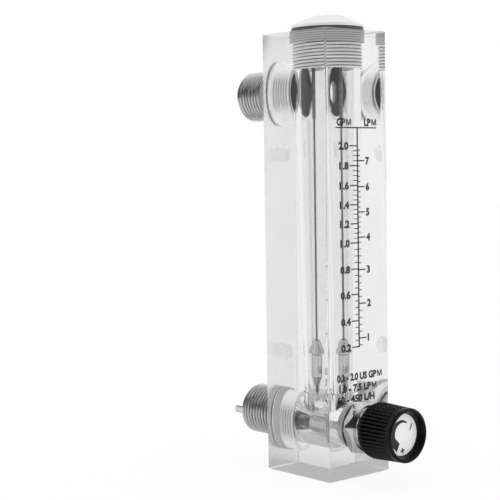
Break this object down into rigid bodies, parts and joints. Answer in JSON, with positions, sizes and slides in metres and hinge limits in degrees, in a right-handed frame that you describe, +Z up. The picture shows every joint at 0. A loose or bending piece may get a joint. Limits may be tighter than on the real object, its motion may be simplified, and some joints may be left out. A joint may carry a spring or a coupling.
{
  "type": "rotameter",
  "caption": "Clear acrylic block flow meter with a float on a guide rod, a printed scale, threaded rear ports and a black needle valve knob in front.",
  "frame": {"origin": "middle of the flat underside of the clear block", "axes": "+Z up along the measuring bore, -Y towards the scale and the knob, +Y along the rear ports"},
  "size_m": [0.034, 0.0929, 0.1872],
  "materials": {
    "clear_acrylic": "clear, polished",
    "stainless_steel": "turned",
    "nickel_plate": "bright plated",
    "black_rubber": "matt",
    "grey_rubber": "matt",
    "white_seal": "matt",
    "black_knob": "satin moulded",
    "white_cap": "satin, printed"
  },
  "bodies": {
    "block": {"meter_block": "clear_acrylic", "top_plug": "clear_acrylic", "plug_ring": "black_rubber", "guide_rod": "stainless_steel", "float_stop": "stainless_steel", "float_seat": "clear_acrylic", "outlet_fitting": "stainless_steel", "inlet_fitting": "stainless_steel", "outlet_gasket": "white_seal", "inlet_gasket": "grey_rubber", "valve_bonnet": "nickel_plate", "bonnet_gasket": "black_rubber", "spindle_o_ring_1": "black_rubber", "spindle_o_ring_2": "black_rubber", "gland_nut": "nickel_plate"},
    "float": {"meter_float": "stainless_steel"},
    "needle": {"needle_plug": "stainless_steel", "plug_clip": "stainless_steel"},
    "spindle": {"valve_spindle": "stainless_steel", "knob": "black_knob", "knob_screw": "stainless_steel", "knob_cap": "white_cap"}
  },
  "joints": [
    {"name": "float_lift", "type": "slide", "parent": "block", "child": "float", "axis": [0, 0, 1], "range_m": [0, 0.0896]},
    {"name": "needle_travel", "type": "slide", "parent": "block", "child": "needle", "axis": [0, -1, 0], "range_m": [0, 0.005]},
    {"name": "knob_turn", "type": "hinge", "parent": "needle", "child": "spindle", "pos_m": [0, -0.03, 0.0205], "axis": [0, -1, 0], "range_deg": [0, 1440]}
  ],
  "couplings": [
    {"joint": "knob_turn", "follows": "needle_travel", "rad_per_m": 5026.5}
  ]
}
